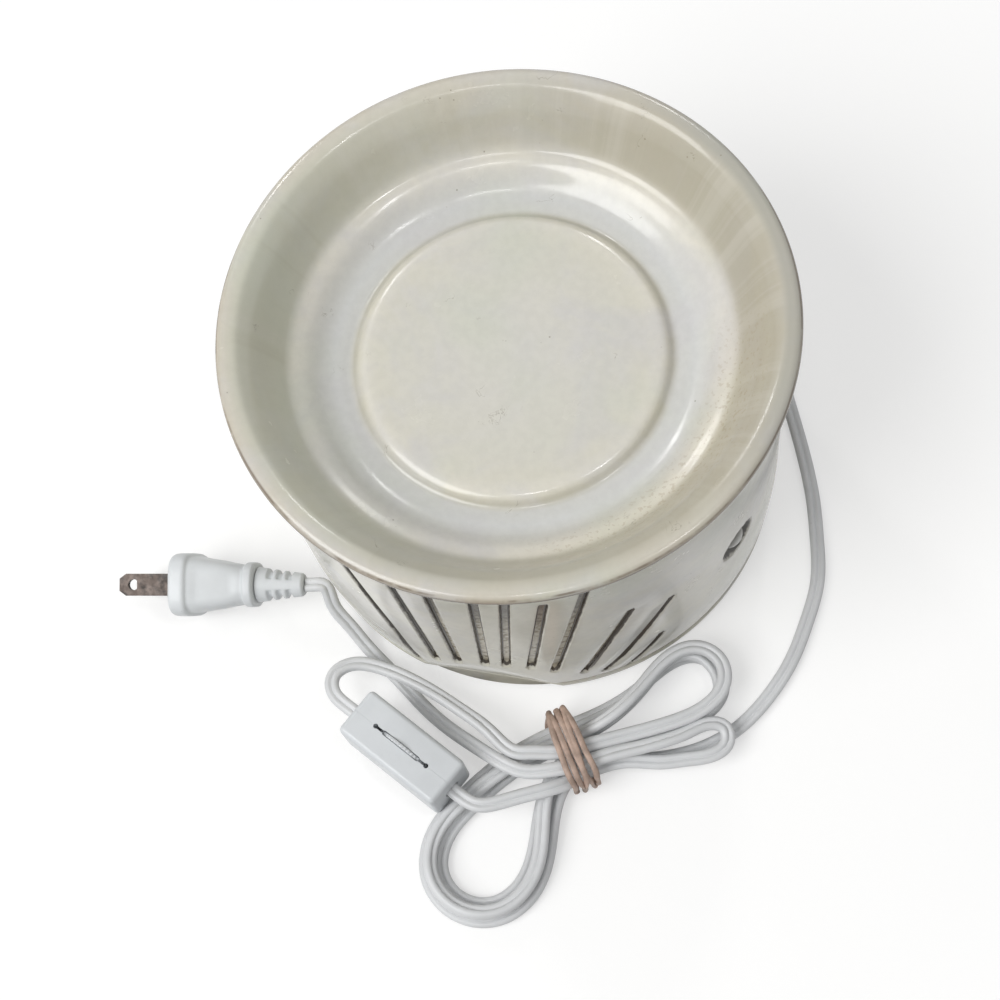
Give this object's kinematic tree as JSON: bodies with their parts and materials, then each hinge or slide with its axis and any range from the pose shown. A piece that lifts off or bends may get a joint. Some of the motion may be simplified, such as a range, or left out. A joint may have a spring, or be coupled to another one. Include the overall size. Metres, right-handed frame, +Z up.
{
  "type": "wax warmer",
  "caption": "Round cream ceramic wax warmer with a lift-off dish over a lamp, fans of grooves in its wall, and a banded white cord with thumbwheel switch and flat-blade plug.",
  "frame": {"origin": "centre of the warmer's foot on the table, cord left out", "axes": "+Z up along the axis of dish and body; -Y towards the cord hank and the viewer; +X to the right in the picture"},
  "size_m": [0.204, 0.2267, 0.098],
  "materials": {
    "cream_glaze_dish": "glossy pearl glaze",
    "cream_glaze_body": "glossy cream glaze with brown wash in the grooves",
    "pad": "matt",
    "cover": "matt",
    "screw_steel": "plated",
    "fixing_steel": "plated",
    "brass_fittings": "plain",
    "holder": "matt",
    "solder": "dull",
    "lamp_glass": "clear",
    "stem_glass": "clear",
    "grommet": "matt",
    "cord_white": "satin",
    "wire": "satin",
    "band": "matt",
    "switch_white": "satin",
    "wheel_white": "satin",
    "contact_brass": "plain",
    "plug_white": "satin"
  },
  "bodies": {
    "warmer": {"body_shell": "cream_glaze_body", "foot_pad_1": "pad", "foot_pad_2": "pad", "foot_pad_3": "pad", "bottom_cover": "cover", "cover_screw_1": "screw_steel", "cover_screw_2": "screw_steel", "cover_screw_3": "screw_steel", "switch_screw": "screw_steel", "switch_axle": "screw_steel", "nipple_nut": "fixing_steel", "nipple_washer": "fixing_steel", "socket_nipple": "brass_fittings", "socket_shell": "brass_fittings", "socket_contact": "brass_fittings", "socket_body": "holder", "cord_grommet": "grommet", "inner_lead": "cord_white", "lead_cord": "cord_white", "cord_hank": "cord_white", "switch_cord": "cord_white", "plug_cord": "cord_white", "wire_live": "wire", "wire_neutral": "wire", "hank_band": "band", "switch_shell_1": "switch_white", "switch_shell_2": "switch_white", "switch_contact_1": "contact_brass", "switch_contact_2": "contact_brass", "plug_blade_1": "contact_brass", "plug_blade_2": "contact_brass", "plug_body": "plug_white", "plug_relief": "plug_white"},
    "dish": {"dish": "cream_glaze_dish"},
    "lamp": {"bulb_glass": "lamp_glass", "bulb_cap": "brass_fittings", "bulb_contact": "solder", "bulb_stem": "stem_glass", "filament": "solder"},
    "wheel": {"switch_wheel": "wheel_white"}
  },
  "joints": [
    {"name": "dish_lift", "type": "slide", "parent": "warmer", "child": "dish", "axis": [0, 0, 1], "range_m": [0, 0.08]},
    {"name": "lamp_turn", "type": "hinge", "parent": "warmer", "child": "lamp", "pos_m": [0, 0, 0.04], "axis": [0, 0, 1], "continuous": true},
    {"name": "switch_wheel_turn", "type": "hinge", "parent": "warmer", "child": "wheel", "pos_m": [-0.053, -0.0805, 0.0124], "axis": [0.7683, 0.6401, 0], "continuous": true}
  ]
}
